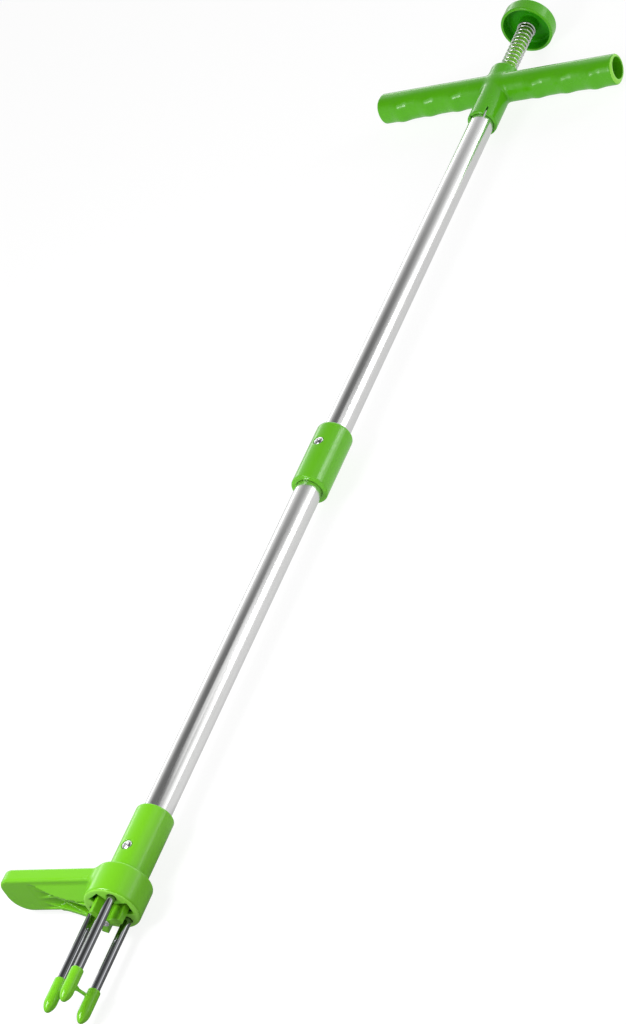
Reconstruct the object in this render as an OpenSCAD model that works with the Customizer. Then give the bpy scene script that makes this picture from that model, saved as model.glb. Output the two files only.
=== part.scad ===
// Stand-up weed puller with a sprung ejector, lying on its back.
// +X runs along the shaft from the claws to the push knob, +Y points along the foot pedal,
// +Z is up and carries the screws. The origin is on the ground, under the middle of the tool.
// Places along the shaft are counted in millimetres from the tips of the claw guard.

/* [Shaft] */
// Outer diameter of both tubes
tube_d = 20; // [16:1:25]
// Wall of both tubes
tube_wall = 1; // [0.8:0.1:1.5]
// Where the head's socket ends and the bare lower tube begins
socket_top = 162; // [150:1:175]
// Lower end of the joint sleeve
sleeve_start = 469.6; // [440:0.2:500]
// Length of the joint sleeve
sleeve_length = 58.6; // [50:0.2:70]
// Outer diameter of the joint sleeve
sleeve_d = 28.4; // [26:0.2:32]
// Centre of the screw in the joint sleeve
sleeve_screw_at = 507.4; // [505:0.2:515]

/* [T handle] */
// Centre of the grip bar
bar_at = 934.6; // [920:0.2:945]
// Overall width of the grip bar
bar_length = 218.4; // [180:0.2:240]
// Outer diameter of the grip bar
bar_d = 22.8; // [22:0.2:26]
// Inner diameter of the hollow bar ends
bar_bore_d = 18; // [14:0.5:18]
// Outer diameter of the hub that holds the tube
hub_d = 24.8; // [24:0.2:28]
// How far the hub reaches down the tube from the bar's centre
hub_below = 46; // [36:1:52]
// How far the hub stands above the bar's centre
hub_above = 18.8; // [16:0.2:20]
// Finger ridges on each half of the bar
ridge_count = 3; // [2:1:4]
// Distance from the hub to the first ridge's centre
ridge_first = 33; // [28:1:40]
// Spacing of the finger ridges
ridge_pitch = 25; // [20:1:27]
// Height of the finger ridges
ridge_height = 1.7; // [0.5:0.1:2.5]

/* [Push knob] */
// Outer diameter of the knob
knob_d = 44.8; // [42:0.2:50]
// Overall length, from the guard's tips to the knob's top
total_length = 1024.6; // [1015:0.2:1035]
// Height of the knob
knob_height = 13; // [11:0.2:15]
// Travel of the knob and the ejector
stroke = 38; // [20:1:38]
// Outer diameter of the return spring
spring_d = 14.6; // [13:0.2:16]
// Diameter of the stem under the knob
stem_d = 10; // [8:0.5:10.5]

/* [Head] */
// Lower face of the head
head_face = 83; // [80:1:86]
// Height of the pedal's collar
collar_height = 24.6; // [22:0.2:28]
// Outer diameter of the pedal's collar
collar_d = 40.2; // [38:0.2:44]
// Outer diameter of the tube socket
socket_d = 27.4; // [25:0.2:30]
// Centre of the screw in the socket
head_screw_at = 126.6; // [120:0.2:150]

/* [Foot pedal] */
// Reach of the pedal from the shaft's axis
pedal_reach = 93; // [80:0.5:105]
// Width of the pedal
pedal_width = 31.6; // [28:0.2:36]
// Thickness of the pedal
pedal_thickness = 10.8; // [8:0.2:12]
// Radius of the pedal's outer corner on the side of the screws
pedal_corner = 10; // [6:0.5:14]
// Radius of the pedal's other outer corner
pedal_far_corner = 15; // [6:0.5:15.5]

/* [Claws] */
// Diameter of a claw
claw_d = 6.2; // [5:0.2:6.4]
// Radius of the circle on which the claws stand
claw_circle_r = 13.2; // [12:0.1:14]
// Width of an ejector arm
arm_width = 8.4; // [6:0.2:9]
// Reach of an ejector arm from the axis
arm_reach = 14; // [12:0.2:14.4]
// Height of the ejector
ejector_height = 17; // [12:0.5:19]
// How far the ejector stands out of the head at rest
ejector_out = 10.6; // [4:0.2:12]

/* [Claw guard] */
// Outer diameter of a guard cap
cap_d = 8.6; // [8.2:0.2:9]
// Length of a guard cap
cap_length = 25.5; // [20:0.5:30]

/* [Hidden] */
$fn = 96;

eps = 0.01;
running_gap = 0.05;
free_gap = 0.4;

plastic_green = [0.36, 0.78, 0.14];
handle_green = [0.25, 0.62, 0.12];
alloy = [0.74, 0.74, 0.76];
bright_steel = [0.82, 0.82, 0.84];

axis_z = knob_d / 2;
tube_bore_d = tube_d - 2 * tube_wall;

// Handle
bar_edge = 2;
hub_edge = 1.6;
hub_top = bar_at + hub_above;
hub_bottom = bar_at - hub_below;
tube_seat = hub_top - 8;
bar_web = 3;
ridge_round = 4;
tab_slit = 1.2;
tab_slit_length = 9;
tab_angle = 36;
bush_d = 16;
rivet_d = 4;
rivet_head_d = 7;
rivet_head_h = 1.2;
rivet_at = hub_bottom + 14;

// Knob, stem and spring
knob_rim = total_length - knob_height;
knob_wall = 2.4;
knob_roof = 2.6;
knob_edge = 1.6;
knob_boss_d = 15.6;
knob_boss_end = knob_rim + 3.4;
washer_t = 1.2;
washer_d = 15.6;
spring_wire = 1.5;
stem_end = tube_seat - stroke - 15;
stem_socket = 24;
rod_d = 6;
stem_head = total_length - knob_roof;

// Sleeve and tubes
sleeve_mid = sleeve_start + sleeve_length / 2;
sleeve_edge_top = 3.2;
sleeve_edge_bottom = 1.2;
sleeve_stop = 2;
sleeve_stop_bore = 16.4;
screw_head_d = 7.6;
screw_head_h = 2;
screw_shank_d = 3.6;
screw_recess = 0.9;
screw_flat = 1.4;
cross_w = 1.1;
cross_l = 4.4;
cross_deep = 1.1;
coupler_d = 11;
coupler_length = 36;
coupler_at = sleeve_mid;

// Head
collar_top = head_face + collar_height;
collar_edge = 1.6;
core_d = 34;
lip = 3;
lip_gap = 0.8;
core_bottom = head_face + lip;
core_step = 0.3;
channel_gap = 0.5;
channel_top = head_face - ejector_out + ejector_height + 1;
guide_bush_d = 12;
lower_tube_seat = collar_top + 1;
claw_root = core_bottom + 16;
claw_tip = 2.6;
claw_point = 9;
claw_point_d = 1.6;
claw_angles = [90, 210, 330];
arm_angles = [30, 150, 270];
ejector_bottom = head_face - ejector_out;
ejector_hub_d = 13;

// Pedal
pedal_top = collar_top - 1.6;
pedal_bottom = pedal_top - pedal_thickness;
pedal_rib = 1.6;
pocket_depth = 7;
pocket_wall = 3.6;
pocket_start = 17;
pocket_end = 64;
gusset_t = 2.6;
gusset_end = 54;
rib_lines = [[[72, 0.8], [10, 0.8]], [[70, -11], [24, 15]], [[70, -13], [10, 3]]];

// Guard
cap_wall_gap = running_gap;
cap_roof = 2.4;
cap_nose = 8;
cap_tip_d = 2.4;
nose_steps = 8;
web_at = cap_length - 5;
web_t = 1.6;
web_w = 2.6;
web_hub_d = 6;

// Places its children on the shaft's axis, x millimetres from the guard's tips. In there
// +Z runs along the shaft, +Y along the pedal and -X points up.
module on_axis(x) {
    translate([x - total_length / 2, 0, axis_z]) rotate([0, 90, 0]) children();
}

// Turns a shape that runs along +Z so that it runs along the grip bar.
module along_bar() {
    rotate([-90, 0, 0]) children();
}

// Turns a shape that runs along +Z so that it points up, out of the shaft's side.
module pointing_up() {
    rotate([0, -90, 0]) children();
}

// Solid post with a rounded rim at either end; an edge radius of 0 leaves that end sharp.
module post(d, h, edge_low, edge_high) {
    rotate_extrude() union() {
        translate([0, edge_low]) square([d / 2, h - edge_low - edge_high]);
        if (edge_low > 0) {
            square([d / 2 - edge_low, h / 2]);
            translate([d / 2 - edge_low, edge_low]) intersection() {
                circle(edge_low, $fn = 48);
                translate([0, -edge_low]) square(edge_low);
            }
        }
        if (edge_high > 0) {
            translate([0, h / 2]) square([d / 2 - edge_high, h / 2]);
            translate([d / 2 - edge_high, h - edge_high]) intersection() {
                circle(edge_high, $fn = 48);
                square(edge_high);
            }
        }
    }
}

module ring(od, id, h) {
    difference() {
        cylinder(d = od, h = h);
        translate([0, 0, -eps]) cylinder(d = id, h = h + 2 * eps);
    }
}

// One bump of the finger grip, proud only on the side that faces the claws.
module finger_ridge() {
    translate([0, 0, -ridge_height]) along_bar() rotate_extrude()
        translate([bar_d / 2 - ridge_round, 0]) circle(ridge_round, $fn = 48);
}

module tee_handle() {
    bore_depth = bar_length / 2 - hub_d / 2 - bar_web;
    color(handle_green) on_axis(bar_at) difference() {
        union() {
            translate([0, -bar_length / 2, 0]) along_bar() post(bar_d, bar_length, bar_edge, bar_edge);
            translate([0, 0, -hub_below]) post(hub_d, hub_below + hub_above, hub_edge / 2, hub_edge);
            for (side = [-1, 1], i = [0 : ridge_count - 1])
                translate([0, side * (ridge_first + i * ridge_pitch), 0]) finger_ridge();
        }
        for (side = [-1, 1])
            translate([0, side * (bar_length / 2 + eps), 0]) rotate([side * 90, 0, 0])
                cylinder(d = bar_bore_d, h = bore_depth);
        translate([0, 0, -hub_below - eps]) cylinder(d = tube_d, h = tube_seat - hub_bottom + eps);
        cylinder(d = bush_d, h = hub_above + eps);
        for (side = [0, 180], tilt = [-tab_angle, tab_angle])
            rotate([0, 0, side + tilt]) translate([-hub_d, -tab_slit / 2, -hub_below - eps])
                cube([hub_d - 5, tab_slit, tab_slit_length]);
        translate([-1, 0, rivet_at - bar_at]) rotate([0, 90, 0]) cylinder(d = rivet_d, h = hub_d);
    }
}

// Blind rivet through the hub and the tube, on the side that faces the ground.
module handle_rivet() {
    color(bright_steel) on_axis(rivet_at) rotate([0, 90, 0]) {
        translate([0, 0, tube_bore_d / 2 - 2]) cylinder(d = rivet_d, h = hub_d / 2 - tube_bore_d / 2 + 2);
        translate([0, 0, hub_d / 2]) rotate_extrude() intersection() {
            scale([rivet_head_d / 2, rivet_head_d / 2]) circle(1);
            square([rivet_head_d / 2, rivet_head_h]);
        }
    }
}

module stem_guide_bush() {
    color("dimgray") on_axis(tube_seat) ring(bush_d, stem_d + 2 * running_gap, hub_top - tube_seat);
}

module lower_spring_washer() {
    color(bright_steel) on_axis(hub_top) ring(washer_d, stem_d + 2 * free_gap, washer_t);
}

module shaft_tube(from, to) {
    on_axis(from) ring(tube_d, tube_bore_d, to - from);
}

// Radial hole for a screw or rivet in a tube's wall, at x from the guard's tips.
module side_hole(x, d, side) {
    on_axis(x) rotate([0, side * 90, 0]) cylinder(d = d, h = tube_d);
}

module upper_tube() {
    color(alloy) difference() {
        shaft_tube(sleeve_mid + sleeve_stop / 2, tube_seat);
        side_hole(sleeve_screw_at, screw_shank_d, -1);
        side_hole(rivet_at, rivet_d, 1);
    }
}

module lower_tube() {
    color(alloy) difference() {
        shaft_tube(lower_tube_seat, sleeve_mid - sleeve_stop / 2);
        side_hole(head_screw_at, screw_shank_d, -1);
    }
}

module joint_sleeve() {
    color(plastic_green) difference() {
        on_axis(sleeve_start) difference() {
            post(sleeve_d, sleeve_length, sleeve_edge_bottom, sleeve_edge_top);
            for (half = [0, 1])
                translate([0, 0, half == 0 ? -eps : sleeve_length / 2 + sleeve_stop / 2])
                    cylinder(d = tube_d, h = sleeve_length / 2 - sleeve_stop / 2 + eps);
            cylinder(d = sleeve_stop_bore, h = sleeve_length);
        }
        screw_seat(sleeve_screw_at, sleeve_d);
    }
}

// Hole for a screw's shank and a shallow round seat for its head.
module screw_seat(x, outer_d) {
    on_axis(x) pointing_up() {
        cylinder(d = screw_shank_d, h = outer_d);
        translate([0, 0, outer_d / 2 - screw_flat]) cylinder(d = screw_head_d + 0.6, h = outer_d);
    }
}

// Pan-head cross-recess screw that points down into the shaft from its top side.
module pan_screw(x, outer_d) {
    seat = outer_d / 2 - screw_flat;
    color(bright_steel) on_axis(x) pointing_up() difference() {
        union() {
            translate([0, 0, tube_bore_d / 2 - 1.6]) cylinder(d = screw_shank_d, h = seat - tube_bore_d / 2 + 1.7);
            translate([0, 0, seat]) post(screw_head_d, screw_head_h, 0, screw_recess);
        }
        for (turn = [0, 90])
            rotate([0, 0, turn]) translate([-cross_l / 2, -cross_w / 2, seat + screw_head_h - cross_deep])
                cube([cross_l, cross_w, cross_deep + eps]);
    }
}

module joint_screw() {
    pan_screw(sleeve_screw_at, sleeve_d);
}

module head_screw() {
    pan_screw(head_screw_at, socket_d);
}

// Star of three arms, used for the ejector and, with a gap, for the channel it rests in.
module star(gap) {
    circle(d = ejector_hub_d + 2 * gap);
    for (a = arm_angles)
        rotate(a) translate([0, -arm_width / 2 - gap]) square([arm_reach + gap, arm_width + 2 * gap]);
}

// Socket for the lower tube and the core that holds the claws.
module claw_head() {
    color(plastic_green) difference() {
        union() {
            on_axis(core_bottom) cylinder(d = core_d, h = collar_top - core_bottom - core_step);
            on_axis(collar_top - 1) post(socket_d, socket_top - collar_top + 1, 0, 1.4);
        }
        on_axis(lower_tube_seat) cylinder(d = tube_d, h = socket_top);
        on_axis(head_face - eps) linear_extrude(channel_top - head_face) star(channel_gap);
        on_axis(head_face) cylinder(d = guide_bush_d, h = lower_tube_seat);
        for (a = claw_angles)
            on_axis(head_face) rotate(a) translate([claw_circle_r, 0, -eps])
                cylinder(d = claw_d, h = claw_root - head_face);
        screw_seat(head_screw_at, socket_d);
    }
}

// Bush in the core that guides the lower push rod.
module rod_guide_bush() {
    color("dimgray") on_axis(channel_top + 1) ring(guide_bush_d, rod_d + 2 * running_gap, lower_tube_seat - channel_top - 1);
}

// Outline of the pedal as seen along the shaft.
module pedal_outline() {
    half = pedal_width / 2;
    translate([-half, 0]) square([pedal_width, pedal_reach - pedal_far_corner]);
    hull() {
        translate([-half + pedal_corner, pedal_reach - pedal_corner]) circle(pedal_corner);
        translate([half - pedal_far_corner, pedal_reach - pedal_far_corner]) circle(pedal_far_corner);
        translate([-half, 0]) square([pedal_width, 1]);
    }
}

// Collar that fits round the core, with the foot plate on one side of it and a lip below that
// holds the claws apart and lets the ejector through.
module foot_pedal() {
    color(plastic_green) difference() {
        union() {
            on_axis(head_face) post(collar_d, collar_height, collar_edge, collar_edge);
            on_axis(pedal_bottom) linear_extrude(pedal_thickness) pedal_outline();
            pedal_gusset();
        }
        on_axis(core_bottom) cylinder(d = core_d, h = collar_top);
        on_axis(head_face - eps) linear_extrude(lip + 2 * eps) star(lip_gap);
        for (a = claw_angles)
            on_axis(head_face - eps) rotate(a) translate([claw_circle_r, 0, 0])
                cylinder(d = claw_d + 2 * free_gap, h = lip + 2 * eps);
        on_axis(pedal_bottom - eps) linear_extrude(pocket_depth) pedal_pockets();
    }
}

// Upright web under the pedal's far edge, deepest where it meets the collar.
module pedal_gusset() {
    on_axis(pedal_bottom) translate([pedal_width / 2 - gusset_t, 0, 0]) rotate([90, 0, 90])
        linear_extrude(gusset_t) polygon([[core_d / 2 - 4, 1], [gusset_end, 1], [gusset_end, 0],
                                          [core_d / 2 - 4, head_face + 2 - pedal_bottom]]);
}

// Hollows in the pedal's underside, parted by thin ribs.
module pedal_pockets() {
    half = pedal_width / 2 - pocket_wall;
    difference() {
        translate([-half, pocket_start]) square([2 * half, pocket_end - pocket_start]);
        circle(d = collar_d + 2 * pocket_wall);
        for (line = rib_lines)
            pedal_rib_strip(line[0], line[1]);
    }
}

// Flat strip as wide as a rib, between two points of the pedal's outline.
module pedal_rib_strip(from, to) {
    translate(from) rotate(atan2(to.y - from.y, to.x - from.x)) translate([0, -pedal_rib / 2])
        square([norm(to - from), pedal_rib]);
}

// Round claw with a tapered point, its root pressed into the core.
module claw(angle) {
    color(bright_steel) on_axis(claw_tip) rotate(angle) translate([claw_circle_r, 0, 0]) {
        cylinder(d1 = claw_point_d, d2 = claw_d, h = claw_point);
        translate([0, 0, claw_point]) cylinder(d = claw_d, h = claw_root - claw_tip - claw_point);
    }
}

module claw_pedal_side() {
    claw(claw_angles[0]);
}

module claw_front() {
    claw(claw_angles[1]);
}

module claw_rear() {
    claw(claw_angles[2]);
}

// Envelope of the coil spring round the stem.
module return_spring() {
    from = hub_top + washer_t;
    to = knob_boss_end - washer_t;
    color(bright_steel) on_axis(from) ring(spring_d, spring_d - 2 * spring_wire, to - from);
}

module push_knob() {
    color(handle_green) {
        on_axis(knob_rim) difference() {
            post(knob_d, knob_height, 0.8, knob_edge);
            difference() {
                translate([0, 0, -eps]) cylinder(d = knob_d - 2 * knob_wall, h = knob_height - knob_roof + eps);
                translate([0, 0, knob_boss_end - knob_rim]) cylinder(d = knob_boss_d, h = knob_height);
            }
            translate([0, 0, -eps]) cylinder(d = stem_d, h = knob_height - knob_roof + eps);
        }
    }
}

module upper_spring_washer() {
    color(bright_steel) on_axis(knob_boss_end - washer_t) ring(washer_d, stem_d, washer_t);
}

module plunger_stem() {
    color(plastic_green) on_axis(stem_end) difference() {
        cylinder(d = stem_d, h = stem_head - stem_end);
        translate([0, 0, -eps]) cylinder(d = rod_d, h = stem_socket + eps);
    }
}

module upper_push_rod() {
    color(bright_steel) on_axis(coupler_at) cylinder(d = rod_d, h = stem_end + stem_socket - coupler_at);
}

module rod_coupler() {
    color("dimgray") on_axis(coupler_at - coupler_length / 2) ring(coupler_d, rod_d, coupler_length);
}

module lower_push_rod() {
    color(bright_steel) on_axis(ejector_bottom + 6) cylinder(d = rod_d, h = coupler_at - ejector_bottom - 6);
}

module ejector() {
    color(plastic_green) on_axis(ejector_bottom) difference() {
        linear_extrude(ejector_height) star(0);
        translate([0, 0, 6]) cylinder(d = rod_d, h = ejector_height);
        translate([0, 0, -eps]) cylinder(d = screw_shank_d, h = 7);
    }
}

// Screw that holds the ejector on its rod, seen between the claws.
module ejector_screw() {
    color(bright_steel) on_axis(ejector_bottom) difference() {
        union() {
            cylinder(d = screw_shank_d, h = 6);
            translate([0, 0, -screw_head_h]) post(screw_head_d, screw_head_h, screw_recess, 0);
        }
        for (turn = [0, 90])
            rotate(turn) translate([-cross_l / 2, -cross_w / 2, -screw_head_h - eps])
                cube([cross_l, cross_w, cross_deep + eps]);
    }
}

// Round post whose lower end narrows along an arc to a small flat tip.
module bullet(r, tip_r, h, nose) {
    arc_r = (pow(r - tip_r, 2) + nose * nose) / (2 * (r - tip_r));
    sweep = asin(nose / arc_r);
    arc = [for (i = [0 : nose_steps])
        let (a = sweep * (1 - i / nose_steps)) [r - arc_r * (1 - cos(a)), nose - arc_r * sin(a)]];
    rotate_extrude() polygon(concat([[0, 0]], arc, [[r, h], [0, h]]));
}

// Three caps for the claws' points, joined by a thin web.
module claw_tip_guard() {
    color(plastic_green) on_axis(0) difference() {
        union() {
            for (a = claw_angles)
                rotate(a) translate([claw_circle_r, 0, 0]) bullet(cap_d / 2, cap_tip_d / 2, cap_length, cap_nose);
            translate([0, 0, web_at - web_t]) cylinder(d = web_hub_d, h = web_t);
            for (a = claw_angles)
                rotate(a) translate([0, -web_w / 2, web_at - web_t]) cube([claw_circle_r, web_w, web_t]);
        }
        for (a = claw_angles)
            rotate(a) translate([claw_circle_r, 0, 0]) {
                translate([0, 0, claw_tip + claw_point])
                    cylinder(d = claw_d + 2 * cap_wall_gap, h = cap_length);
                translate([0, 0, cap_roof])
                    cylinder(d1 = claw_point_d + 0.4, d2 = claw_d + 2 * cap_wall_gap,
                             h = claw_tip + claw_point - cap_roof + eps);
            }
    }
}

tee_handle();
handle_rivet();
stem_guide_bush();
lower_spring_washer();
upper_tube();
joint_sleeve();
joint_screw();
lower_tube();
claw_head();
foot_pedal();
head_screw();
rod_guide_bush();
claw_pedal_side();
claw_front();
claw_rear();
return_spring();
push_knob();
upper_spring_washer();
plunger_stem();
upper_push_rod();
rod_coupler();
lower_push_rod();
ejector();
ejector_screw();
claw_tip_guard();
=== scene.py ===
"""Looks of the stand-up weed puller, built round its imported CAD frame.

The tool lies along X with its claws at the low end and its push knob at the high end, the foot
pedal points along +Y and the screws face up. Shapes are made in tool millimetres: x from the
guard's tips, y and z from the shaft's axis. place() turns them into metres in the row's frame.
"""
import math

import bpy
import numpy as np
from mathutils import Matrix, Vector


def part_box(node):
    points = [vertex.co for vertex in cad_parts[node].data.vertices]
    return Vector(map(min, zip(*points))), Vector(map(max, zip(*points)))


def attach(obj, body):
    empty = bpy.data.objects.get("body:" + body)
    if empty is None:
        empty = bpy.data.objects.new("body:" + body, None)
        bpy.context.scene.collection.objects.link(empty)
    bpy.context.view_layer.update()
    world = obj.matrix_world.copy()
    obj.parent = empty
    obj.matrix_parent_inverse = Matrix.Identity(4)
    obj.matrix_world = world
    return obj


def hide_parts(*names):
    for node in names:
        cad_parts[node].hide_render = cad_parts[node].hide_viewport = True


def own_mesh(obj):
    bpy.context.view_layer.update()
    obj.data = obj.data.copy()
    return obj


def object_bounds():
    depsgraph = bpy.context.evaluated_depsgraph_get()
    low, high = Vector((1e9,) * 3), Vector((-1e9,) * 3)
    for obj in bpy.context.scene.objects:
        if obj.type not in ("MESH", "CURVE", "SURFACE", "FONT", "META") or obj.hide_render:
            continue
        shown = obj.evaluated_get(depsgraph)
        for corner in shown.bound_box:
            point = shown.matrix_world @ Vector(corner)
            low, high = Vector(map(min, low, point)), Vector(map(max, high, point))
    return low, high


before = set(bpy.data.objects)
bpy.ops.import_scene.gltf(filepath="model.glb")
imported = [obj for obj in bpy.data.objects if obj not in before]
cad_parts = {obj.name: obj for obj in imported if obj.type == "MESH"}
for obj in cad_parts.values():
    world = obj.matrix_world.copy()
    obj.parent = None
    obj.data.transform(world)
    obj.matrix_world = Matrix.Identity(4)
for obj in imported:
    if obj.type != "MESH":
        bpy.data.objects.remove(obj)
cad_box = [list(corner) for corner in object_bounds()]

MM = 0.001
TIP_X = cad_box[0][0]
AXIS_Z = sum(corner.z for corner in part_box("upper_tube")) / 2


def tool_box(node):
    """Lowest and highest corner of a CAD node, in tool millimetres."""
    shift = Vector((TIP_X, 0, AXIS_Z))
    low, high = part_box(node)
    return (low - shift) / MM, (high - shift) / MM


def place(points):
    """Tool millimetres to metres in the row's frame."""
    return np.asarray(points, float) * MM + np.array([TIP_X, 0, AXIS_Z])


# ---------------------------------------------------------------- sizes read from the frame

GUARD = tool_box("claw_tip_guard")
HANDLE = tool_box("tee_handle")
KNOB = tool_box("push_knob")
SLEEVE = tool_box("joint_sleeve")
HEAD = tool_box("claw_head")
PEDAL = tool_box("foot_pedal")
EJECTOR = tool_box("ejector")
TUBE = tool_box("upper_tube")
SPRING = tool_box("return_spring")
WASHER = tool_box("upper_spring_washer")
STEM = tool_box("plunger_stem")
CLAW = tool_box("claw_pedal_side")

TUBE_R = TUBE[1].z
STEM_R = STEM[1].z
CLAW_R = CLAW[1].z
CLAW_CIRCLE = (CLAW[0].y + CLAW[1].y) / 2
CLAW_ANGLES = (0, 120, 240)
ARM_ANGLES = (60, 180, 300)


# ---------------------------------------------------------------- distance fields

def rod(x, y, z, radius, low, high, edge=0.0, along="x", at=(0.0, 0.0)):
    """Distance to a round rod with rounded rims; at is its centre in the other two axes."""
    t, a, b = {"x": (x, y, z), "y": (y, x, z), "z": (z, x, y)}[along]
    side = np.hypot(a - at[0], b - at[1]) - radius + edge
    end = np.abs(t - (low + high) / 2) - (high - low) / 2 + edge
    return np.minimum(np.maximum(side, end), 0) + np.hypot(np.maximum(side, 0), np.maximum(end, 0)) - edge


def block(x, y, z, low, high, edge=0.0):
    """Distance to a box with rounded edges."""
    d = [np.abs(v - (lo + hi) / 2) - (hi - lo) / 2 + edge for v, lo, hi in zip((x, y, z), low, high)]
    inner = np.minimum(np.maximum(np.maximum(d[0], d[1]), d[2]), 0)
    outer = np.sqrt(sum(np.maximum(v, 0) ** 2 for v in d))
    return inner + outer - edge


def join(a, b, fillet=0.0):
    """Union of two fields, with a fillet where they meet."""
    if fillet <= 0:
        return np.minimum(a, b)
    h = np.clip(0.5 + 0.5 * (b - a) / fillet, 0, 1)
    return b + (a - b) * h - fillet * h * (1 - h)


def cut(a, b, fillet=0.0):
    """Field a with b taken away, with a rounded edge where they meet."""
    return -join(-a, b, fillet)


def common(a, b, fillet=0.0):
    """What two fields share."""
    return -join(-a, -b, fillet)


def turned(y, z, degrees):
    """y and z in axes turned about the shaft; 0 points along +Y and 90 along +Z."""
    c, s = math.cos(math.radians(degrees)), math.sin(math.radians(degrees))
    return y * c + z * s, z * c - y * s


def smooth_step(t):
    """0 below 0, 1 above 1, and a smooth S between."""
    t = np.clip(t, 0, 1)
    return t * t * (3 - 2 * t)


# ---------------------------------------------------------------- meshes

def new_piece(name, points, faces, material, body, replaced):
    """A smooth mesh from tool millimetres that rides on a body and stands for CAD nodes."""
    mesh = bpy.data.meshes.new(name)
    mesh.from_pydata(place(points).tolist(), [], [list(map(int, f)) for f in faces])
    mesh.update()
    mesh.polygons.foreach_set("use_smooth", [True] * len(mesh.polygons))
    mesh.materials.append(material)
    piece = bpy.data.objects.new(name, mesh)
    bpy.context.scene.collection.objects.link(piece)
    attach(piece, body)
    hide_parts(*replaced)
    return piece


def repaint(piece, material, chosen):
    """Puts a second material on the faces that chosen(x, y, z, normal) picks, in tool millimetres."""
    piece.data.materials.append(material)
    for face in piece.data.polygons:
        x, y, z = face.center
        if chosen((x - TIP_X) / MM, y / MM, (z - AXIS_Z) / MM, face.normal):
            face.material_index = 1


def field_slope(field, p, step=0.01):
    """Gradient of a field at points p."""
    slope = np.empty_like(p)
    for axis in range(3):
        ahead, behind = p.copy(), p.copy()
        ahead[:, axis] += step
        behind[:, axis] -= step
        slope[:, axis] = (field(*ahead.T) - field(*behind.T)) / (2 * step)
    return slope


def net_surface(field, low, high, cell):
    """Points and quads of a field's zero surface: surface nets, then each point is moved on to it."""
    low = np.array(low, float) - 2 * cell
    count = np.ceil((np.array(high, float) + 2 * cell - low) / cell).astype(int) + 1
    axes = [low[i] + cell * np.arange(count[i]) for i in range(3)]
    y, z = np.meshgrid(axes[1], axes[2], indexing="ij")
    value = np.stack([field(np.full_like(y, x), y, z) for x in axes[0]])
    cells = count - 1
    size = int(np.prod(cells))
    hits = np.zeros(size)
    total = np.zeros((size, 3))
    quads = []
    for axis in range(3):
        first = [slice(None)] * 3
        second = [slice(None)] * 3
        first[axis] = slice(None, -1)
        second[axis] = slice(1, None)
        a, b = value[tuple(first)], value[tuple(second)]
        where = np.argwhere((a < 0) != (b < 0))
        va, vb = a[tuple(where.T)], b[tuple(where.T)]
        crossing = where.astype(float)
        crossing[:, axis] += va / (va - vb)
        u, v = (axis + 1) % 3, (axis + 2) % 3
        corners, inside = [], np.ones(len(where), bool)
        for du, dv in ((-1, -1), (0, -1), (0, 0), (-1, 0)):
            at = where.copy()
            at[:, u] += du
            at[:, v] += dv
            good = np.all((at >= 0) & (at < cells), axis=1)
            inside &= good
            at = np.clip(at, 0, cells - 1)
            index = np.ravel_multi_index(at.T, cells)
            corners.append(index)
            hits += np.bincount(index[good], minlength=size)
            for k in range(3):
                total[:, k] += np.bincount(index[good], crossing[good, k], minlength=size)
        ring = np.stack(corners, axis=1)[inside]
        outward = (va < 0)[inside]
        quads.append(np.where(outward[:, None], ring, ring[:, ::-1]))
    used = hits > 0
    number = np.cumsum(used) - 1
    points = low + cell * total[used] / hits[used][:, None]
    faces = number[np.concatenate(quads)]
    for _ in range(5):
        slope = field_slope(field, points)
        steep = np.maximum((slope ** 2).sum(1), 0.05)
        step = (field(*points.T) / steep)[:, None] * slope
        points -= np.clip(step, -cell / 2, cell / 2)
    return points, faces


def moulded(name, field, box, cell, material, body, replaced):
    """A piece from a distance field, inside the box of tool millimetres given."""
    points, faces = net_surface(field, box[0], box[1], cell)
    return new_piece(name, points, faces, material, body, replaced)


def lathe(name, profile, material, body, replaced, segments=64, at=(0.0, 0.0)):
    """A turned piece: profile is a list of (x, radius), closed at the axis or back on itself."""
    points, faces, rings = [], [], []
    for x, r in profile:
        if r < 1e-6:
            rings.append([len(points)])
            points.append((x, at[0], at[1]))
            continue
        start = len(points)
        for i in range(segments):
            a = math.tau * i / segments
            points.append((x, at[0] + r * math.cos(a), at[1] + r * math.sin(a)))
        rings.append(list(range(start, start + segments)))
    open_ended = len(rings[0]) == 1
    pairs = list(zip(rings[:-1], rings[1:]))
    if not open_ended:
        pairs.append((rings[-1], rings[0]))
    for a, b in pairs:
        for i in range(segments):
            j = (i + 1) % segments
            face = [a[i % len(a)], b[i % len(b)], b[j % len(b)], a[j % len(a)]]
            faces.append(list(dict.fromkeys(face)))
    return new_piece(name, points, faces, material, body, replaced)


def rounded(corners, steps=5):
    """A profile whose corners, given as (x, radius, rounding), become arcs."""
    out = []
    n = len(corners)
    for i, (x, r, round_by) in enumerate(corners):
        if round_by <= 0:
            out.append((x, r))
            continue
        here = Vector((x, r))
        before = Vector(corners[i - 1][:2]) - here
        after = Vector(corners[(i + 1) % n][:2]) - here
        half = before.angle(after) / 2
        back = min(round_by / math.tan(half), before.length * 0.499, after.length * 0.499)
        start = here + before.normalized() * back
        end = here + after.normalized() * back
        for k in range(steps + 1):
            t = k / steps
            point = start * (1 - t) ** 2 + here * 2 * t * (1 - t) + end * t ** 2
            out.append((point.x, point.y))
    return out


# ---------------------------------------------------------------- materials

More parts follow.
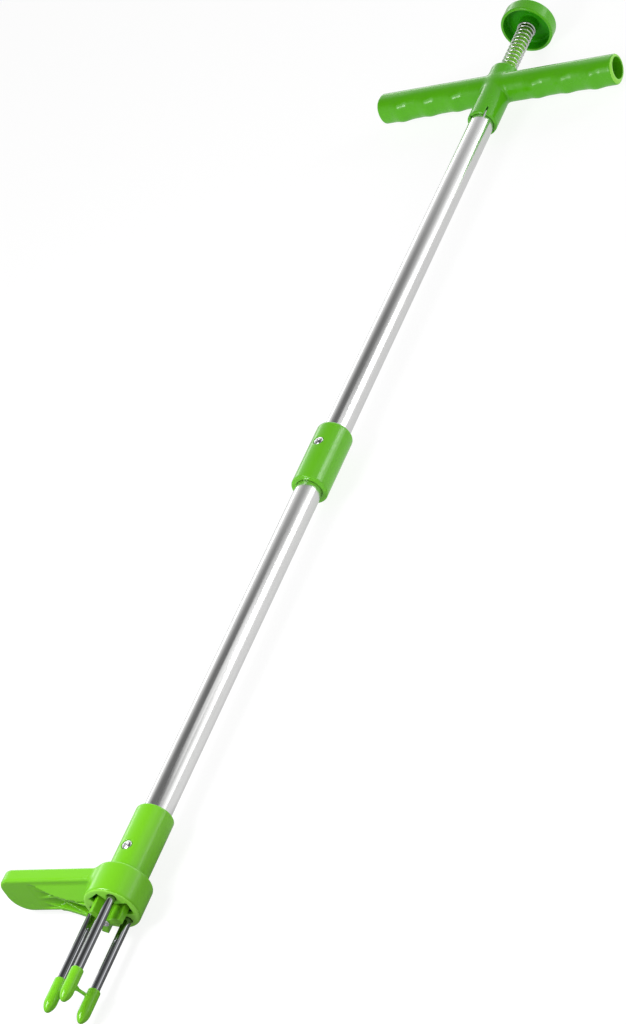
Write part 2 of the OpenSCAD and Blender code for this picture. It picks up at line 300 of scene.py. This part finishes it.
class Nodes:
    """Short helper that adds shader nodes to a new material and links them."""

    def __init__(self, name):
        self.material = bpy.data.materials.new(name)
        self.material.use_nodes = True
        self.tree = self.material.node_tree
        self.shader = self.tree.nodes["Principled BSDF"]
        self.place = self.add("ShaderNodeTexCoord").outputs["Object"]

    def add(self, kind, **settings):
        node = self.tree.nodes.new(kind)
        for key, value in settings.items():
            setattr(node, key, value)
        return node

    def link(self, output, socket):
        self.tree.links.new(output, socket)

    def stretched(self, scale):
        """Object coordinates scaled by (x, y, z)."""
        node = self.add("ShaderNodeMapping")
        node.inputs["Scale"].default_value = scale
        self.link(self.place, node.inputs["Vector"])
        return node.outputs["Vector"]

    def noise(self, scale, detail=3.0, stretch=(1, 1, 1)):
        node = self.add("ShaderNodeTexNoise")
        node.inputs["Scale"].default_value = scale
        node.inputs["Detail"].default_value = detail
        self.link(self.stretched(stretch), node.inputs["Vector"])
        return node.outputs["Fac"]

    def ramp(self, source, low, high, from_low=0.3, from_high=0.7):
        """Source, between from_low and from_high, mapped to the range low to high."""
        node = self.add("ShaderNodeMapRange")
        node.inputs["From Min"].default_value = from_low
        node.inputs["From Max"].default_value = from_high
        node.inputs["To Min"].default_value = low
        node.inputs["To Max"].default_value = high
        self.link(source, node.inputs["Value"])
        return node.outputs["Result"]

    def mix(self, factor, a, b):
        node = self.add("ShaderNodeMix", data_type="RGBA")
        self.link(factor, node.inputs["Factor"])
        for socket, value in ((node.inputs[6], a), (node.inputs[7], b)):
            if isinstance(value, tuple):
                socket.default_value = (*value, 1)
            else:
                self.link(value, socket)
        return node.outputs[2]

    def bump(self, height, strength, distance):
        node = self.add("ShaderNodeBump")
        node.inputs["Strength"].default_value = strength
        node.inputs["Distance"].default_value = distance
        self.link(height, node.inputs["Height"])
        self.link(node.outputs["Normal"], self.shader.inputs["Normal"])

    def set(self, **values):
        for key, value in values.items():
            self.shader.inputs[key.replace("_", " ")].default_value = value


def plastic(name, colour, shade, rough, index=1.42):
    """Glossy injection-moulded plastic: faint flow marks, fine orange peel, lighter worn edges."""
    n = Nodes(name)
    flow = n.ramp(n.noise(9, 3, (0.35, 1, 1)), 0, 1)
    body = n.mix(flow, colour, shade)
    edge = n.ramp(n.add("ShaderNodeNewGeometry").outputs["Pointiness"], 0, 0.25, 0.53, 0.62)
    pale = tuple(0.75 * c + 0.2 for c in colour)
    n.link(n.mix(edge, body, pale), n.shader.inputs["Base Color"])
    n.link(n.ramp(n.noise(60, 4), rough - 0.05, rough + 0.08), n.shader.inputs["Roughness"])
    n.bump(n.noise(900, 2), 0.12, 0.00005)
    n.set(IOR=index, Coat_Weight=0.12, Coat_Roughness=0.1)
    return n.material


def metal(name, colour, shade, rough, grain, strength):
    """Bare or plated metal whose grain runs along the shaft."""
    n = Nodes(name)
    streak = n.noise(grain, 6, (0.02, 1, 1))
    n.link(n.mix(n.ramp(streak, 0, 1), colour, shade), n.shader.inputs["Base Color"])
    n.link(n.ramp(n.noise(grain * 0.6, 4, (0.05, 1, 1)), rough * 0.85, rough * 1.2),
           n.shader.inputs["Roughness"])
    n.bump(streak, strength, 0.00001)
    n.set(Metallic=1.0)
    return n.material


def acetal(name, colour):
    """Dull dark bush plastic."""
    n = Nodes(name)
    n.link(n.mix(n.noise(200), colour, tuple(1.4 * c for c in colour)), n.shader.inputs["Base Color"])
    n.link(n.ramp(n.noise(300), 0.45, 0.6), n.shader.inputs["Roughness"])
    return n.material


LIME = plastic("lime_plastic", (0.19, 0.60, 0.016), (0.17, 0.55, 0.013), 0.2)
MID_GREEN = plastic("handle_plastic", (0.115, 0.54, 0.006), (0.10, 0.49, 0.005), 0.22)
SLEEVE_GREEN = plastic("sleeve_plastic", (0.148, 0.56, 0.012), (0.135, 0.515, 0.01), 0.2)
# Painted light: a lighter copy of the green, put on the bar ends, the pedal's lip and the plunger stem to
# stand in for the light they catch.
PAINTED_LIGHT_GREEN = plastic("painted_light_plastic", (0.34, 0.86, 0.08), (0.31, 0.80, 0.07), 0.3)
# Painted shade: a near-black copy of the green with weak reflection, put inside the head's core to stand in
# for the shade in that recess.
HEAD_PAINTED_SHADE = plastic("head_inner_painted_shade", (0.008, 0.09, 0.002), (0.006, 0.07, 0.002), 0.5, 1.2)
# Painted shade: a darker copy of the green with weak reflection, put inside the knob's hollow to stand in
# for the shade there.
KNOB_PAINTED_SHADE = plastic("knob_inner_painted_shade", (0.035, 0.42, 0.003), (0.03, 0.36, 0.003), 0.5, 1.15)
ALLOY = metal("drawn_aluminium", (0.84, 0.84, 0.835), (0.78, 0.78, 0.775), 0.2, 900, 0.1)
CHROME = metal("claw_chrome", (0.31, 0.316, 0.33), (0.27, 0.275, 0.288), 0.05, 700, 0.05)
ZINC = metal("bright_zinc", (0.80, 0.80, 0.82), (0.70, 0.70, 0.72), 0.14, 500, 0.05)
WIRE = metal("spring_wire", (0.84, 0.84, 0.85), (0.74, 0.74, 0.75), 0.12, 800, 0.05)
STEEL = metal("rod_steel", (0.50, 0.50, 0.52), (0.42, 0.42, 0.44), 0.3, 700, 0.1)
ACETAL = acetal("bush_acetal", (0.03, 0.03, 0.034))


def paint_node(node, material):
    """Gives a carried-over CAD node its material."""
    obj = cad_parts[node]
    for slot in obj.material_slots:
        slot.material = material
    if not obj.material_slots:
        obj.data.materials.append(material)


# ---------------------------------------------------------------- camera, floor and light

CAMERA_AZIMUTH = -139.17
CAMERA_ELEVATION = 34.68
CAMERA_ROLL = 31.56
CAMERA_DISTANCE = 2.3068
CAMERA_TARGET = Vector(place((452.7, -6.7, -6.4)))
CAMERA_LENS = 112.35

FLOOR_SIZE = 24.0
FLOOR_SEEN = 0.86
FLOOR_BOUNCE = (0.12, 0.57)
FLOOR_BOUNCE_X = (-0.365, -0.325)


def direction(azimuth, elevation):
    """Unit vector towards an azimuth and elevation in degrees; azimuth 0 is +X."""
    a, e = math.radians(azimuth), math.radians(elevation)
    return Vector((math.cos(e) * math.cos(a), math.cos(e) * math.sin(a), math.sin(e)))


def facing(back, roll=0.0):
    """Rotation of a camera or lamp that looks along -back."""
    turn = back.to_track_quat("Z", "Y").to_matrix()
    return (turn @ Matrix.Rotation(math.radians(-roll), 3, "Z")).to_4x4()


def make_camera():
    data = bpy.data.cameras.new("camera")
    data.lens = CAMERA_LENS
    data.sensor_width = 36
    data.clip_end = 50
    camera = bpy.data.objects.new("camera", data)
    back = direction(CAMERA_AZIMUTH, CAMERA_ELEVATION)
    spot = CAMERA_TARGET + back * CAMERA_DISTANCE
    camera.matrix_world = Matrix.Translation(spot) @ facing(back, CAMERA_ROLL)
    bpy.context.scene.collection.objects.link(camera)
    bpy.context.scene.camera = camera


def make_floor():
    """Floor that the camera sees as white and that bounces less light, least of all near the claws."""
    n = Nodes("pale_floor")
    n.set(Base_Color=(0.2, 0.2, 0.2, 1), Roughness=0.9, Specular_IOR_Level=0.1)
    n.shader.inputs["Emission Color"].default_value = (1, 1, 1, 1)
    at = n.add("ShaderNodeSeparateXYZ")
    n.link(n.place, at.inputs["Vector"])
    bounce = n.ramp(at.outputs["X"], *FLOOR_BOUNCE, *FLOOR_BOUNCE_X)
    glow = n.add("ShaderNodeMapRange")
    n.link(n.add("ShaderNodeLightPath").outputs["Is Camera Ray"], glow.inputs["Value"])
    n.link(bounce, glow.inputs["To Min"])
    glow.inputs["To Max"].default_value = FLOOR_SEEN
    n.link(glow.outputs["Result"], n.shader.inputs["Emission Strength"])
    mesh = bpy.data.meshes.new("floor")
    far = FLOOR_SIZE / 2
    corners = [(-far, -far, 0), (far, -far, 0), (far, far, 0), (-far, far, 0)]
    mesh.from_pydata(corners, [], [(0, 1, 2, 3)])
    mesh.materials.append(n.material)
    floor = bpy.data.objects.new("floor", mesh)
    bpy.context.scene.collection.objects.link(floor)


def softbox(name, place_at, look_at, width, height, power):
    """Rectangular lamp; its width lies level."""
    data = bpy.data.lights.new(name, "AREA")
    data.shape = "RECTANGLE"
    data.size, data.size_y = width, height
    data.energy = power
    lamp = bpy.data.objects.new(name, data)
    back = (Vector(place_at) - Vector(look_at)).normalized()
    lamp.matrix_world = Matrix.Translation(Vector(place_at)) @ facing(back)
    bpy.context.scene.collection.objects.link(lamp)


def make_light():
    """A sky that is dim overhead and bright low down, most of all past the knob, and four softboxes."""
    world = bpy.data.worlds.new("studio")
    world.use_nodes = True
    tree = world.node_tree
    split = tree.nodes.new("ShaderNodeSeparateXYZ")
    tree.links.new(tree.nodes.new("ShaderNodeTexCoord").outputs["Generated"], split.inputs["Vector"])

    def fade(axis, start, end, first, last):
        node = tree.nodes.new("ShaderNodeMapRange")
        for key, value in (("From Min", start), ("From Max", end), ("To Min", first), ("To Max", last)):
            node.inputs[key].default_value = value
        tree.links.new(split.outputs[axis], node.inputs["Value"])
        return node.outputs["Result"]

    def combine(operation, a, b):
        node = tree.nodes.new("ShaderNodeMath")
        node.operation = operation
        tree.links.new(a, node.inputs[0])
        tree.links.new(b, node.inputs[1])
        return node.outputs[0]

    sky = combine("MULTIPLY", fade("Z", 0.3, 0.79, 1.1, 0.15), fade("X", -0.1, 0.4, 0.65, 1))
    band = combine("MULTIPLY", fade("Z", 0.17, 0.24, 1.7, 0), fade("X", 0.4, 0.55, 0, 1))
    tree.links.new(combine("ADD", sky, band), tree.nodes["Background"].inputs["Strength"])
    tree.nodes["Background"].inputs["Color"].default_value = (1.0, 1.0, 1.0, 1)
    bpy.context.scene.world = world
    softbox("sleeve_strip", (0.91, -1.06, 0.54), (-0.02, 0, 0), 0.2, 0.45, 1.8)
    softbox("top_key", (-0.75, 0.35, 1.35), (0, 0, 0), 0.9, 0.9, 4.5)
    softbox("head_key", (-0.6, 0.2, 0.68), (-0.42, 0.02, 0), 0.35, 0.35, 4.3)
    softbox("bar_key", (0.35, -0.45, 0.75), (0.45, -0.05, 0), 0.5, 0.5, 0.5)
    bpy.context.scene.view_settings.view_transform = "Standard"


make_camera()
make_floor()
make_light()


# ---------------------------------------------------------------- T handle

BAR_X = HANDLE[0].x + 46
BAR_R = 11.6
BAR_HALF = HANDLE[1].y
BAR_BORE = 9.0
HUB_R = HANDLE[1].z
BELLY = (1.5, 0.9)
RIDGE_AT = (37.5, 64, 90)
RIDGE_PROUD = 1.8
RIDGE_HALF = 9.5
BAR_END_FACE = 1.6
SLIT_ANGLE = 36
SLIT_DEEP = 9
SLIT_HALF = 0.6
TUBE_SEAT = HANDLE[1].x - 8


def handle_field(x, y, z):
    """Grip bar with a fuller, ridged underside, open at both ends, on a hub slit where the tube goes in."""
    u = x - BAR_X
    downward = -u / np.maximum(np.hypot(u, z), 0.1)
    belly = smooth_step((downward + 0.1) / 1.1) * (BELLY[0] + BELLY[1] * smooth_step((np.abs(y) - 60) / 35))
    ridges = sum(1 - smooth_step(np.abs(np.abs(y) - at) / RIDGE_HALF) for at in RIDGE_AT)
    grip = BAR_R + belly + RIDGE_PROUD * ridges * smooth_step((downward - 0.5) / 0.47)
    bar = rod(u, y, z, grip, -BAR_HALF, BAR_HALF, 2.3, "y")
    hub = rod(x, y, z, HUB_R, HANDLE[0].x, HANDLE[1].x, 1.2)
    body = join(bar, hub, 2.2)
    for side in (-1, 1):
        low, high = sorted((side * (HUB_R + 3), side * (BAR_HALF + 5)))
        body = cut(body, rod(u, y, z, BAR_BORE, low, high, 0, "y"), 0.9)
    body = cut(body, rod(x, y, z, TUBE_R + 0.05, HANDLE[0].x - 5, TUBE_SEAT), 0.5)
    body = cut(body, rod(x, y, z, 8, TUBE_SEAT - 1, HANDLE[1].x + 5), 0.4)
    for turn in (90 - SLIT_ANGLE, 90 + SLIT_ANGLE, 270 - SLIT_ANGLE, 270 + SLIT_ANGLE):
        p, q = turned(y, z, turn)
        low, high = (HANDLE[0].x - 5, 5, -SLIT_HALF), (HANDLE[0].x + SLIT_DEEP, 20, SLIT_HALF)
        slit = block(x, p, q, low, high, 0.5)
        body = cut(body, slit, 0.4)
    return body


def make_handle():
    shell = moulded("tee_handle_shell", handle_field, HANDLE, 0.75, MID_GREEN, "frame", ["tee_handle"])

    # The bar's end faces take the painted light.
    def bar_end_light_faces(x, y, z, normal):
        return abs(normal.y) > 0.6 and abs(y) > BAR_HALF - BAR_END_FACE

    repaint(shell, PAINTED_LIGHT_GREEN, bar_end_light_faces)


# ---------------------------------------------------------------- push knob, stem and spring

KNOB_R = KNOB[1].z
KNOB_WALL = 2.4
KNOB_ROOF = 2.6
KNOB_BOSS_R = 7.8
STEM_HOLE_R = 3.1


def knob_field(x, y, z):
    """Hollow cap with a boss that the stem goes into."""
    low, high = KNOB[0].x, KNOB[1].x
    body = rod(x, y, z, KNOB_R, low, high, 1.4)
    hollow = rod(x, y, z, KNOB_R - KNOB_WALL, low - 6, high - KNOB_ROOF, 2.0)
    body = cut(body, hollow, 0.8)
    boss = rod(x, y, z, KNOB_BOSS_R, WASHER[1].x, high - 1, 0.4)
    body = join(body, boss, 1.5)
    return cut(body, rod(x, y, z, STEM_R, low, high - KNOB_ROOF), 0.3)


def make_knob():
    cap = moulded("push_knob_cap", knob_field, KNOB, 0.5, MID_GREEN, "plunger", ["push_knob"])

    # Faces inside the knob's hollow take the painted shade.
    def knob_shade_faces(x, y, z, normal):
        return math.hypot(y, z) < KNOB_R - KNOB_WALL + 0.3 and KNOB[0].x + 0.8 < x < KNOB[1].x - 1.5

    repaint(cap, KNOB_PAINTED_SHADE, knob_shade_faces)


def make_stem():
    low, high = STEM[0].x, STEM[1].x - 0.05
    corners = [(low, STEM_HOLE_R, 0.2), (low, STEM_R, 0.6), (high, STEM_R, 0), (high, STEM_HOLE_R, 0)]
    # Painted light: the stem takes the lighter green, against the shade of the spring round it.
    lathe("plunger_stem_rod", rounded(corners, 4), PAINTED_LIGHT_GREEN, "plunger", ["plunger_stem"])


SPRING_R = SPRING[1].z
WIRE_R = 0.58
SPRING_TURNS = 14.0
SPRING_CUP = 2.2


def make_spring():
    """A round-wire coil with a closed turn at either end."""
    length = SPRING[1].x - SPRING[0].x
    per_turn, around = 40, 10
    steps = int(SPRING_TURNS * per_turn)
    radius = SPRING_R - WIRE_R
    points, faces = [], []
    for i in range(steps + 1):
        turn = i / per_turn
        closed = min(1.0, turn), min(1.0, SPRING_TURNS - turn)
        rise = 2 * WIRE_R * closed[0] + 2 * WIRE_R * (1 - closed[1])
        free = length - 2 * WIRE_R - 4 * WIRE_R
        rise += free * min(max((turn - 1) / (SPRING_TURNS - 2), 0), 1)
        x = SPRING[0].x + WIRE_R + rise
        a = math.tau * turn
        out = np.array([0, math.cos(a), math.sin(a)])
        for k in range(around):
            b = math.tau * k / around
            points.append(out * (radius + WIRE_R * math.cos(b)) + np.array([x + WIRE_R * math.sin(b), 0, 0]))
    for i in range(steps):
        for k in range(around):
            a, b = i * around + k, i * around + (k + 1) % around
            faces.append([a + around, b + around, b, a])
    faces.append(list(range(around)))
    faces.append(list(range(steps * around, (steps + 1) * around))[::-1])
    coil = new_piece("return_spring_coil", points, faces, WIRE, "frame", ["return_spring"])
    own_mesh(coil)


def make_spring_cup():
    """The upper washer, with a rim round the spring's last turns."""
    low, high = WASHER[0].x, WASHER[1].x
    rim, inner, outer = low - SPRING_CUP, SPRING_R + 0.05, WASHER[1].z
    cup = [(rim, inner), (rim, outer), (high, outer), (high, STEM_R), (low, STEM_R), (low, inner)]
    lathe("spring_end_cap", cup, ZINC, "plunger", ["upper_spring_washer"])


# ---------------------------------------------------------------- sleeve, tubes and screws

SCREW_SEAT_R = 4.05
SCREW_R = 3.7
SCREW_HEAD = 2.0
SCREW_TOP = 1.4
SCREW_HOLE_R = 1.8
SCREW_SHANK_R = 1.75
SCREW_DOME_R = 6.2
RECESS_HALF = 2.3
RECESS_DEEP = 1.5
SMALL_SCREW_R = 3.2
TUBE_WALL = 1.0


def screw_centre(node):
    """Where along the shaft a screw stands."""
    low, high = tool_box(node)
    return (low.x + high.x) / 2


def screw_seat(body, x, y, z, at, outer):
    """Shallow round seat for a screw's head on the tool's upper side."""
    seat = rod(x, y, z, SCREW_SEAT_R, outer - SCREW_TOP, outer + 10, 0, "z", (at, 0))
    hole = rod(x, y, z, SCREW_HOLE_R, 0, outer + 10, 0, "z", (at, 0))
    return cut(cut(body, seat, 0.5), hole, 0.2)


def screw_field(side, out, across, shank, radius=SCREW_R):
    """Cross-recess screw; out is measured along its axis from under the head."""
    around = np.hypot(side, across)
    head = rod(out, side, across, radius, 0, SCREW_HEAD, 0.7)
    dome = np.sqrt(around ** 2 + (out - SCREW_HEAD + SCREW_DOME_R) ** 2) - SCREW_DOME_R
    body = common(head, dome, 0.4)
    body = join(body, rod(out, side, across, SCREW_SHANK_R, -shank, 0.5, 0.2), 0.2)
    deep = np.clip(SCREW_HEAD - out, 0, 2)
    for a, b in ((side, across), (across, side)):
        wing = np.maximum(np.abs(a) - 0.48 + 0.12 * deep, np.abs(b) - RECESS_HALF + 1.1 * deep)
        body = cut(body, np.maximum(wing, SCREW_HEAD - RECESS_DEEP - out), 0.15)
    return body


def make_screws():
    for node, outer in (("joint_screw", SLEEVE[1].y), ("head_screw", SOCKET_R)):
        low, high = tool_box(node)
        seat = outer - SCREW_TOP
        at = screw_centre(node)

        def upright(x, y, z, at=at, seat=seat, low=low):
            return screw_field(x - at, z - seat, y, seat - low.z)

        moulded(node + "_head", upright, (low, high), 0.3, ZINC, "frame", [node])
    low, high = tool_box("ejector_screw")
    seat = low.x + SCREW_HEAD

    def downward(x, y, z):
        return screw_field(y, seat - x, z, high.x - seat, SMALL_SCREW_R)

    moulded("ejector_screw_head", downward, (low, high), 0.3, ZINC, "plunger", ["ejector_screw"])


def sleeve_field(x, y, z):
    """Sleeve that both tubes go into, up to a stop at its middle."""
    low, high = SLEEVE[0].x, SLEEVE[1].x
    body = rod(x, y, z, SLEEVE[1].y, low, high + 5, 1.2)
    body = common(body, rod(x, y, z, SLEEVE[1].y, low - 5, high, 3.2), 0.6)
    mid = (low + high) / 2
    body = cut(body, rod(x, y, z, TUBE_R + 0.05, low - 5, mid - 1), 0.5)
    body = cut(body, rod(x, y, z, TUBE_R + 0.05, mid + 1, high + 5), 0.5)
    body = cut(body, rod(x, y, z, 8.2, low, high), 0.3)
    return screw_seat(body, x, y, z, screw_centre("joint_screw"), SLEEVE[1].y)


def make_tubes():
    for node in ("upper_tube", "lower_tube"):
        low, high = tool_box(node)
        inner = TUBE_R - TUBE_WALL
        corners = [(low.x, inner, 0.2), (low.x, TUBE_R, 0.3), (high.x, TUBE_R, 0.3), (high.x, inner, 0.2)]
        lathe(node + "_skin", rounded(corners, 3), ALLOY, "frame", [node], 96)


def make_sleeve():
    moulded("joint_sleeve_shell", sleeve_field, SLEEVE, 0.6, SLEEVE_GREEN, "frame", ["joint_sleeve"])


# ---------------------------------------------------------------- head, pedal and ejector

FACE_X = PEDAL[0].x
COLLAR_TOP = PEDAL[1].x
COLLAR_R = PEDAL[1].z
SOCKET_R = 13.7
HUB_STAR_R = 6.5
SOCKET_TOP = HEAD[1].x
CORE_R = 17.0
LIP = 3.0
LIP_GAP = 1.0
ARM_HALF = 4.2
ARM_REACH = -EJECTOR[0].y
CHANNEL_GAP = 0.6
CHANNEL_TOP = EJECTOR[1].x + 1
PEDAL_REACH = PEDAL[1].y
PEDAL_HALF = 15.8
PEDAL_TOP = COLLAR_TOP - 1.6
PEDAL_THICK = 10.8
PEDAL_BOTTOM = PEDAL_TOP - PEDAL_THICK
PEDAL_CORNERS = (10.0, 15.0)


def star(x, y, z, low, high, gap, edge):
    """The ejector's three arms and hub."""
    body = rod(x, y, z, HUB_STAR_R + gap, low, high, edge)
    for turn in ARM_ANGLES:
        p, q = turned(y, z, turn)
        arm = block(x, p, q, (low, -2, -ARM_HALF - gap), (high, ARM_REACH + gap, ARM_HALF + gap), edge)
        body = join(body, arm, 0.5)
    return body


def head_field(x, y, z):
    """Core inside the pedal's collar, with sockets for the claws and a channel for the ejector."""
    body = rod(x, y, z, CORE_R - 0.05, FACE_X + LIP + 0.05, COLLAR_TOP - 0.3, 0.3)
    body = join(body, rod(x, y, z, SOCKET_R, COLLAR_TOP - 6, SOCKET_TOP, 1.2), 0.6)
    body = cut(body, rod(x, y, z, TUBE_R + 0.05, COLLAR_TOP + 1, SOCKET_TOP + 5), 0.5)
    body = cut(body, star(x, y, z, FACE_X - 5, CHANNEL_TOP, CHANNEL_GAP, 0.2), 0.4)
    body = cut(body, rod(x, y, z, 6.0, FACE_X, COLLAR_TOP + 3), 0.1)
    for turn in CLAW_ANGLES:
        p, q = turned(y, z, turn)
        socket = rod(x, p, q, CLAW_R + 0.05, FACE_X - 5, FACE_X + 19, 0, "x", (CLAW_CIRCLE, 0))
        body = cut(body, socket, 0.2)
    return screw_seat(body, x, y, z, screw_centre("head_screw"), SOCKET_R)


def plate(x, y, z, low, high, inset, edge):
    """The pedal's outline, with its own rounding at either outer corner, between two heights."""
    r = np.where(z > 0, PEDAL_CORNERS[0], PEDAL_CORNERS[1]) - inset * 0.5
    a = np.abs(z) - PEDAL_HALF + inset + r
    b = y - (PEDAL_REACH - inset) + r
    side = np.minimum(np.maximum(a, b), 0) + np.hypot(np.maximum(a, 0), np.maximum(b, 0)) - r
    side = np.maximum(side, -y) + edge
    end = np.abs(x - (low + high) / 2) - (high - low) / 2 + edge
    return np.minimum(np.maximum(side, end), 0) + np.hypot(np.maximum(side, 0), np.maximum(end, 0)) - edge


POCKET_FROM = 21.0
POCKET_TO = 68.0
POCKET_DEEP = 6.0
GUSSET_END = 54.0
GUSSET_LOW = FACE_X + 2
# Each rib's two ends, as (y, z), and half its thickness.
RIBS = (((67, -3), (18, -1.5), 0.9), ((65.5, 7.2), (22, -19), 1.2), ((65, -7.8), (52, -15.4), 1.0))
FACET_EDGE = 11.7
FACET_SPAN = (26.6, 65.0)
FACET_SLANT = 0.5


def crest(y):
    """Lower edge of the pedal's far wall and ribs, which drop towards the collar."""
    fall = (PEDAL_BOTTOM - GUSSET_LOW) / (GUSSET_END - 20)
    t = np.maximum(GUSSET_END - y, 0)
    return PEDAL_BOTTOM - fall * (np.sqrt(t ** 2 + 9) - 3)


def pedal_field(x, y, z):
    """Tread with a ribbed pocket under it, and the collar that goes round the head."""
    arm = plate(x, y, z, PEDAL_BOTTOM, PEDAL_TOP, 0, 2.0)
    depth = POCKET_DEEP * smooth_step((POCKET_TO - y) / 26)
    floor = x - PEDAL_BOTTOM - depth
    walls = np.maximum(np.abs(z + 0.6) - PEDAL_HALF + 3.6, POCKET_FROM - y)
    pocket = common(common(floor, walls, 1.0), y - POCKET_TO, 0.6)
    arm = cut(arm, pocket, 0.6)
    below = crest(y)
    far_wall = np.maximum(np.abs(z + PEDAL_HALF - 1.6) - 1.5, np.maximum(below - x, x - PEDAL_BOTTOM - 3))
    far_wall = np.maximum(far_wall, np.maximum(y - GUSSET_END, 8 - y))
    arm = join(arm, far_wall, 1.4)
    inward = FACET_EDGE * np.clip((y - FACET_SPAN[0]) / (FACET_SPAN[1] - FACET_SPAN[0]), 0, 1) ** 2
    facet = (PEDAL_BOTTOM - FACET_SLANT * (FACET_EDGE - z) - x) / math.hypot(1, FACET_SLANT)
    facet = np.maximum(np.maximum(facet, z - FACET_EDGE - 0.2), np.maximum(inward - z, y - FACET_SPAN[1]))
    arm = join(arm, np.maximum(facet, np.maximum(x - PEDAL_TOP + 2, 8 - y)), 0.8)
    for (y0, z0), (y1, z1), half in RIBS:
        length = math.hypot(y1 - y0, z1 - z0)
        along = ((y - y0) * (y1 - y0) + (z - z0) * (z1 - z0)) / length
        across = ((y - y0) * (z1 - z0) - (z - z0) * (y1 - y0)) / length
        rib = np.maximum(np.abs(across) - half, np.maximum(-along, along - length))
        rib = np.maximum(rib, np.maximum(below + 0.5 - x, x - PEDAL_TOP + 2))
        rib = np.maximum(rib, np.abs(z) - PEDAL_HALF + 1)
        arm = join(arm, rib, 0.8)
    collar = rod(x, y, z, COLLAR_R, FACE_X, COLLAR_TOP, 1.9)
    body = join(arm, collar, 2.4)
    body = cut(body, rod(x, y, z, CORE_R, FACE_X + LIP, COLLAR_TOP + 5), 0.3)
    body = cut(body, star(x, y, z, FACE_X - 5, FACE_X + LIP + 2, LIP_GAP, 0.2), 0.6)
    for turn in CLAW_ANGLES:
        p, q = turned(y, z, turn)
        hole = rod(x, p, q, CLAW_R + 0.35, FACE_X - 5, FACE_X + LIP + 2, 0, "x", (CLAW_CIRCLE, 0))
        body = cut(body, hole, 0.6)
    return body


def make_head():
    shell = moulded("claw_head_shell", head_field, HEAD, 0.6, LIME, "frame", ["claw_head"])

    # Faces inside the collar take the painted shade.
    def head_shade_faces(x, y, z, normal):
        return x < COLLAR_TOP - 1 and math.hypot(y, z) < CORE_R - 0.3

    repaint(shell, HEAD_PAINTED_SHADE, head_shade_faces)


def make_pedal():
    pedal = moulded("foot_pedal_shell", pedal_field, PEDAL, 0.6, LIME, "frame", ["foot_pedal"])

    # The lip's lower face takes the painted light.
    def lip_light_faces(x, y, z, normal):
        return x < FACE_X + LIP / 2 and math.hypot(y, z) < COLLAR_R and abs(normal.x) > 0.7

    repaint(pedal, PAINTED_LIGHT_GREEN, lip_light_faces)


ARM_SLIM = 1.6


def ejector_field(x, y, z):
    """Three-armed star, slimmer than its channel, with a screw below and the rod's socket above."""
    low, high = EJECTOR[0].x, EJECTOR[1].x
    body = star(x, y, z, low, high, -ARM_SLIM, 0.7)
    body = cut(body, rod(x, y, z, 1.85, low - 2, low + 8), 0.2)
    return cut(body, rod(x, y, z, 3.0, low + 6, high + 2), 0.2)


def make_ejector():
    moulded("ejector_star", ejector_field, EJECTOR, 0.45, LIME, "plunger", ["ejector"])


# ---------------------------------------------------------------- claws and guard

CAP_R = (GUARD[1].z - GUARD[0].z) / 2 - CLAW_CIRCLE * math.cos(math.radians(30))
CAP_LENGTH = GUARD[1].x
CAP_NOSE = 8.0
CAP_TIP_R = 1.2
CAP_ROOF = 2.4
CAP_TAPER = 0.23
WEB_TOP = CAP_LENGTH - 5
WEB_THICK = 1.6
WEB_HALF = 1.3


def claw_profile():
    """A round rod with a blunt point at its low end."""
    low, high = CLAW[0].x, CLAW[1].x
    corners = [(low, 0, 0), (low, 0.8, 0.5), (low + 9, CLAW_R, 6), (high, CLAW_R, 0.3), (high, 0, 0)]
    return rounded(corners, 6)


def make_claws():
    for node, turn in zip(("claw_pedal_side", "claw_front", "claw_rear"), CLAW_ANGLES):
        a = math.radians(turn)
        at = (CLAW_CIRCLE * math.cos(a), CLAW_CIRCLE * math.sin(a))
        lathe(node + "_rod", claw_profile(), CHROME, "frame", [node], 48, at)


def cap_radius(x):
    """Outer radius of a guard cap: straight, then narrowed along an arc to a blunt tip."""
    fall = CAP_R - CAP_TIP_R
    arc = (fall ** 2 + CAP_NOSE ** 2) / (2 * fall)
    t = np.clip(CAP_NOSE - x, 0, arc * 0.99)
    return CAP_R - arc + np.sqrt(arc ** 2 - t ** 2)


def guard_field(x, y, z):
    """Three caps for the claws' points, joined by a thin web."""
    body = rod(x, y, z, 3, WEB_TOP - WEB_THICK, WEB_TOP, 0.5)
    for turn in CLAW_ANGLES:
        p, q = turned(y, z, turn)
        low, high = (WEB_TOP - WEB_THICK, -1, -WEB_HALF), (WEB_TOP, CLAW_CIRCLE, WEB_HALF)
        arm = block(x, p, q, low, high, 0.5)
        cap = np.hypot(p - CLAW_CIRCLE, q) - cap_radius(x)
        cap = common(cap, np.maximum(x - CAP_LENGTH, 0.02 - x), 1.0)
        body = join(body, join(arm, cap, 0.8), 0.6)
    for turn in CLAW_ANGLES:
        p, q = turned(y, z, turn)
        taper = np.minimum(CLAW_R + 0.05, 1.0 + (x - CAP_ROOF) * CAP_TAPER)
        bore = common(np.hypot(p - CLAW_CIRCLE, q) - taper, CAP_ROOF - x, 0.2)
        body = cut(body, bore, 0.4)
    return body


def make_guard():
    moulded("claw_tip_guard_caps", guard_field, GUARD, 0.4, LIME, "guard", ["claw_tip_guard"])


make_handle()
make_knob()
make_stem()
make_spring()
make_spring_cup()
make_tubes()
make_sleeve()
make_screws()
make_head()
make_pedal()
make_ejector()
make_claws()
make_guard()

paint_node("handle_rivet", ZINC)
paint_node("lower_spring_washer", ZINC)
for node in ("upper_push_rod", "lower_push_rod"):
    paint_node(node, STEEL)
for node in ("rod_coupler", "rod_guide_bush", "stem_guide_bush"):
    paint_node(node, ACETAL)
